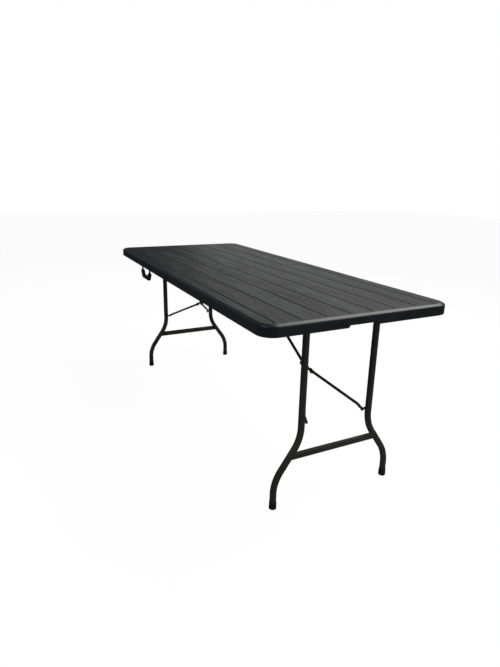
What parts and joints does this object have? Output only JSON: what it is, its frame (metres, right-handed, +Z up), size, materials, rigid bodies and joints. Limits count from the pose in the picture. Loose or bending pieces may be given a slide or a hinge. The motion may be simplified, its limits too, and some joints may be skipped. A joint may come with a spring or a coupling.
{
  "type": "folding table",
  "caption": "Fold-in-half table with a plank-look moulded top, folding tubular leg frames, locking braces and a carry handle.",
  "frame": {"origin": "on the floor, under the middle of the open table top", "axes": "+X along the length towards the right half, +Y across the width towards the rear long side, +Z up"},
  "size_m": [1.83, 0.762, 0.74],
  "materials": {
    "moulded_top": "dark charcoal blow-moulded plastic, wood grain on top, smooth on the rim",
    "coated_steel": "dark grey textured powder coat",
    "zinc_fixings": "zinc-plated steel",
    "black_plastic": "black moulded plastic",
    "handle_plastic": "black moulded plastic, fine texture",
    "foot_rubber": "black rubber"
  },
  "bodies": {
    "right_top": {"right_top_panel": "moulded_top", "right_front_rail": "coated_steel", "right_rear_rail": "coated_steel", "right_rail_screws": "zinc_fixings", "right_cross_tie": "coated_steel", "right_strut_bracket": "coated_steel", "right_strut_pin": "zinc_fixings", "right_crossbar_bushes": "black_plastic", "right_leg_clips": "black_plastic", "right_hinge_rivets": "zinc_fixings"},
    "left_top": {"left_top_panel": "moulded_top", "left_front_rail": "coated_steel", "left_rear_rail": "coated_steel", "left_rail_screws": "zinc_fixings", "left_cross_tie": "coated_steel", "left_strut_bracket": "coated_steel", "left_strut_pin": "zinc_fixings", "left_crossbar_bushes": "black_plastic", "left_leg_clips": "black_plastic", "left_hinge_rivets": "zinc_fixings", "handle_pins": "zinc_fixings"},
    "centre_links": {"front_hinge_link": "coated_steel", "rear_hinge_link": "coated_steel"},
    "right_leg_frame": {"right_front_leg": "coated_steel", "right_rear_leg": "coated_steel", "right_crossbar": "coated_steel", "right_stretcher": "coated_steel", "right_front_foot": "foot_rubber", "right_rear_foot": "foot_rubber", "right_brace_studs": "zinc_fixings"},
    "right_strut_tube": {"right_strut": "coated_steel"},
    "right_wishbone": {"right_brace_front_arm": "coated_steel", "right_brace_rear_arm": "coated_steel", "right_knuckle_rivet": "zinc_fixings"},
    "right_sleeve": {"right_lock_sleeve": "black_plastic"},
    "left_leg_frame": {"left_front_leg": "coated_steel", "left_rear_leg": "coated_steel", "left_crossbar": "coated_steel", "left_stretcher": "coated_steel", "left_front_foot": "foot_rubber", "left_rear_foot": "foot_rubber", "left_brace_studs": "zinc_fixings"},
    "left_strut_tube": {"left_strut": "coated_steel"},
    "left_wishbone": {"left_brace_front_arm": "coated_steel", "left_brace_rear_arm": "coated_steel", "left_knuckle_rivet": "zinc_fixings"},
    "left_sleeve": {"left_lock_sleeve": "black_plastic"},
    "handle": {"carry_handle": "handle_plastic"}
  },
  "joints": [
    {"name": "centre_fold_right_pin", "type": "hinge", "parent": "right_top", "child": "centre_links", "pos_m": [0.01, 0, 0.7085], "axis": [0, -1, 0], "range_deg": [0, 90]},
    {"name": "centre_fold_left_pin", "type": "hinge", "parent": "centre_links", "child": "left_top", "pos_m": [-0.01, 0, 0.7085], "axis": [0, -1, 0], "range_deg": [0, 90]},
    {"name": "right_leg_fold", "type": "hinge", "parent": "right_top", "child": "right_leg_frame", "pos_m": [0.792, 0, 0.714], "axis": [0, 1, 0], "range_deg": [0, 90]},
    {"name": "right_strut_swing", "type": "hinge", "parent": "right_top", "child": "right_strut_tube", "pos_m": [0.068, 0, 0.7225], "axis": [0, -1, 0], "range_deg": [0, 29.2]},
    {"name": "right_knuckle", "type": "hinge", "parent": "right_strut_tube", "child": "right_wishbone", "pos_m": [0.56986, 0, 0.44007], "axis": [0, 1, 0], "range_deg": [0, 180.1]},
    {"name": "right_sleeve_slide", "type": "slide", "parent": "right_strut_tube", "child": "right_sleeve", "axis": [-0.8715, 0, 0.4904], "range_m": [0, 0.045]},
    {"name": "left_leg_fold", "type": "hinge", "parent": "left_top", "child": "left_leg_frame", "pos_m": [-0.792, 0, 0.714], "axis": [0, -1, 0], "range_deg": [0, 90]},
    {"name": "left_strut_swing", "type": "hinge", "parent": "left_top", "child": "left_strut_tube", "pos_m": [-0.068, 0, 0.7225], "axis": [0, 1, 0], "range_deg": [0, 29.2]},
    {"name": "left_knuckle", "type": "hinge", "parent": "left_strut_tube", "child": "left_wishbone", "pos_m": [-0.56986, 0, 0.44007], "axis": [0, -1, 0], "range_deg": [0, 180.1]},
    {"name": "left_sleeve_slide", "type": "slide", "parent": "left_strut_tube", "child": "left_sleeve", "axis": [0.8715, 0, 0.4904], "range_m": [0, 0.045]},
    {"name": "handle_swing", "type": "hinge", "parent": "left_top", "child": "handle", "pos_m": [-0.4, -0.3695, 0.705], "axis": [-1, 0, 0], "range_deg": [-20, 90]}
  ],
  "couplings": [
    {"joint": "right_strut_swing", "follows": "right_leg_fold", "ratio": 0.3234},
    {"joint": "right_knuckle", "follows": "right_leg_fold", "ratio": 2},
    {"joint": "right_sleeve_slide", "follows": "right_leg_fold", "m_per_rad": 0.0286},
    {"joint": "left_strut_swing", "follows": "left_leg_fold", "ratio": 0.3234},
    {"joint": "left_knuckle", "follows": "left_leg_fold", "ratio": 2},
    {"joint": "left_sleeve_slide", "follows": "left_leg_fold", "m_per_rad": 0.0286}
  ]
}
